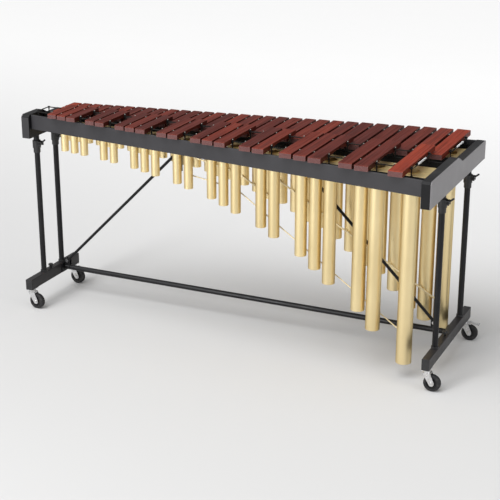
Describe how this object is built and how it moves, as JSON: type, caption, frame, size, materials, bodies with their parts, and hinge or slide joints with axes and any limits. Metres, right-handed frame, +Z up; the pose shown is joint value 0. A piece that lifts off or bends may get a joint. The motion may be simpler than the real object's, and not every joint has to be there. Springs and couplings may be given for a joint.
{
  "type": "concert marimba",
  "caption": "Wheeled, height-adjustable concert marimba: rosewood bars on suspension cords over gold resonator tubes, on a black stand with braces and swivel casters.",
  "frame": {"origin": "on the floor, in the middle of the whole instrument's footprint", "axes": "+Z up, +X towards the bass end, +Y towards the player's side, -Y towards the audience"},
  "size_m": [2.1124, 0.8681, 0.982],
  "materials": {
    "rosewood": "oiled rosewood, satin",
    "black_board": "black painted wood, satin",
    "grey_panel": "grey painted, satin",
    "grey_rail": "dark grey painted, satin",
    "dark_rail": "black painted wood",
    "black_cord": "black braided cord",
    "spring_steel": "bright steel wire",
    "peg_plastic": "off-white moulded plastic",
    "gold_tube": "gold anodised, glossy",
    "gold_strip": "gold anodised, satin",
    "gold_rod": "gold-coloured rod",
    "black_steel": "black powder coat",
    "base_steel": "dark grey powder coat",
    "black_plastic": "black moulded plastic",
    "inner_steel": "black painted steel",
    "zinc": "zinc plated",
    "tyre_rubber": "grey-black rubber"
  },
  "bodies": {
    "stand": {"treble_base_bar": "base_steel", "bass_base_bar": "base_steel", "base_end_caps": "black_plastic", "outer_posts": "black_steel", "post_feet": "black_plastic", "clamp_collars": "black_plastic", "clamp_bolts": "black_steel", "cross_tube": "black_steel", "cross_tube_flanges": "black_steel", "flange_knobs": "black_plastic", "brace_lugs": "black_steel", "diagonal_braces": "black_steel", "brace_pins": "zinc", "caster_stems": "zinc"},
    "keyboard": {"natural_bars_bass": "rosewood", "natural_bars_middle": "rosewood", "natural_bars_treble": "rosewood", "accidental_bars_bass": "rosewood", "accidental_bars_middle": "rosewood", "accidental_bars_treble": "rosewood", "treble_end_board": "black_board", "bass_end_board": "black_board", "treble_side_panel": "grey_panel", "bass_side_panel": "grey_panel", "front_rail": "grey_rail", "back_rail": "grey_rail", "accidental_outer_rail": "dark_rail", "accidental_inner_rail": "dark_rail", "natural_inner_rail": "dark_rail", "natural_outer_rail": "dark_rail", "natural_cord": "black_cord", "accidental_cord": "black_cord", "cord_springs": "spring_steel", "cord_pegs": "peg_plastic", "cord_rollers": "peg_plastic", "natural_resonators": "gold_tube", "accidental_resonators": "gold_tube", "resonator_stoppers": "black_plastic", "natural_bank_strips": "gold_strip", "accidental_bank_strips": "gold_strip", "bank_hangers": "black_steel", "accidental_tie_rods": "gold_rod", "natural_tie_rods": "gold_rod", "brace_guides": "black_steel", "inner_posts": "inner_steel"},
    "treble_front_lever": {"treble_front_lever": "black_plastic"},
    "treble_front_fork": {"treble_front_fork": "zinc"},
    "treble_front_wheel": {"treble_front_wheel": "tyre_rubber"},
    "treble_back_lever": {"treble_back_lever": "black_plastic"},
    "treble_back_fork": {"treble_back_fork": "zinc"},
    "treble_back_wheel": {"treble_back_wheel": "tyre_rubber"},
    "bass_front_lever": {"bass_front_lever": "black_plastic"},
    "bass_front_fork": {"bass_front_fork": "zinc"},
    "bass_front_wheel": {"bass_front_wheel": "tyre_rubber"},
    "bass_back_lever": {"bass_back_lever": "black_plastic"},
    "bass_back_fork": {"bass_back_fork": "zinc"},
    "bass_back_wheel": {"bass_back_wheel": "tyre_rubber"},
    "treble_back_brake": {"treble_back_brake": "zinc"},
    "bass_back_brake": {"bass_back_brake": "zinc"}
  },
  "joints": [
    {"name": "keyboard_height", "type": "slide", "parent": "stand", "child": "keyboard", "axis": [0, 0, 1], "range_m": [0, 0.08]},
    {"name": "treble_front_lever_swing", "type": "hinge", "parent": "stand", "child": "treble_front_lever", "pos_m": [-1.0097, -0.096, 0.803], "axis": [0, 1, 0], "range_deg": [0, 88]},
    {"name": "treble_back_lever_swing", "type": "hinge", "parent": "stand", "child": "treble_back_lever", "pos_m": [-1.0097, 0.064, 0.803], "axis": [0, 1, 0], "range_deg": [0, 88]},
    {"name": "bass_front_lever_swing", "type": "hinge", "parent": "stand", "child": "bass_front_lever", "pos_m": [1.0103, -0.183, 0.803], "axis": [0, 1, 0], "range_deg": [0, 88]},
    {"name": "bass_back_lever_swing", "type": "hinge", "parent": "stand", "child": "bass_back_lever", "pos_m": [1.0103, 0.201, 0.803], "axis": [0, 1, 0], "range_deg": [0, 88]},
    {"name": "treble_front_swivel", "type": "hinge", "parent": "stand", "child": "treble_front_fork", "pos_m": [-1.0327, -0.203, 0.088], "axis": [0, 0, 1], "continuous": true},
    {"name": "treble_front_roll", "type": "hinge", "parent": "treble_front_fork", "child": "treble_front_wheel", "pos_m": [-1.0077, -0.203, 0.0375], "axis": [0, 1, 0], "continuous": true},
    {"name": "treble_back_swivel", "type": "hinge", "parent": "stand", "child": "treble_back_fork", "pos_m": [-1.0327, 0.17, 0.088], "axis": [0, 0, 1], "continuous": true},
    {"name": "treble_back_roll", "type": "hinge", "parent": "treble_back_fork", "child": "treble_back_wheel", "pos_m": [-1.0077, 0.17, 0.0375], "axis": [0, 1, 0], "continuous": true},
    {"name": "bass_front_swivel", "type": "hinge", "parent": "stand", "child": "bass_front_fork", "pos_m": [0.9873, -0.285, 0.088], "axis": [0, 0, 1], "continuous": true},
    {"name": "bass_front_roll", "type": "hinge", "parent": "bass_front_fork", "child": "bass_front_wheel", "pos_m": [1.0123, -0.285, 0.0375], "axis": [0, 1, 0], "continuous": true},
    {"name": "bass_back_swivel", "type": "hinge", "parent": "stand", "child": "bass_back_fork", "pos_m": [0.9873, 0.299, 0.088], "axis": [0, 0, 1], "continuous": true},
    {"name": "bass_back_roll", "type": "hinge", "parent": "bass_back_fork", "child": "bass_back_wheel", "pos_m": [1.0123, 0.299, 0.0375], "axis": [0, 1, 0], "continuous": true},
    {"name": "treble_back_brake_press", "type": "hinge", "parent": "treble_back_fork", "child": "treble_back_brake", "pos_m": [-1.0067, 0.17, 0.084], "axis": [0, 1, 0], "range_deg": [0, 20]},
    {"name": "bass_back_brake_press", "type": "hinge", "parent": "bass_back_fork", "child": "bass_back_brake", "pos_m": [1.0133, 0.299, 0.084], "axis": [0, 1, 0], "range_deg": [0, 20]}
  ]
}
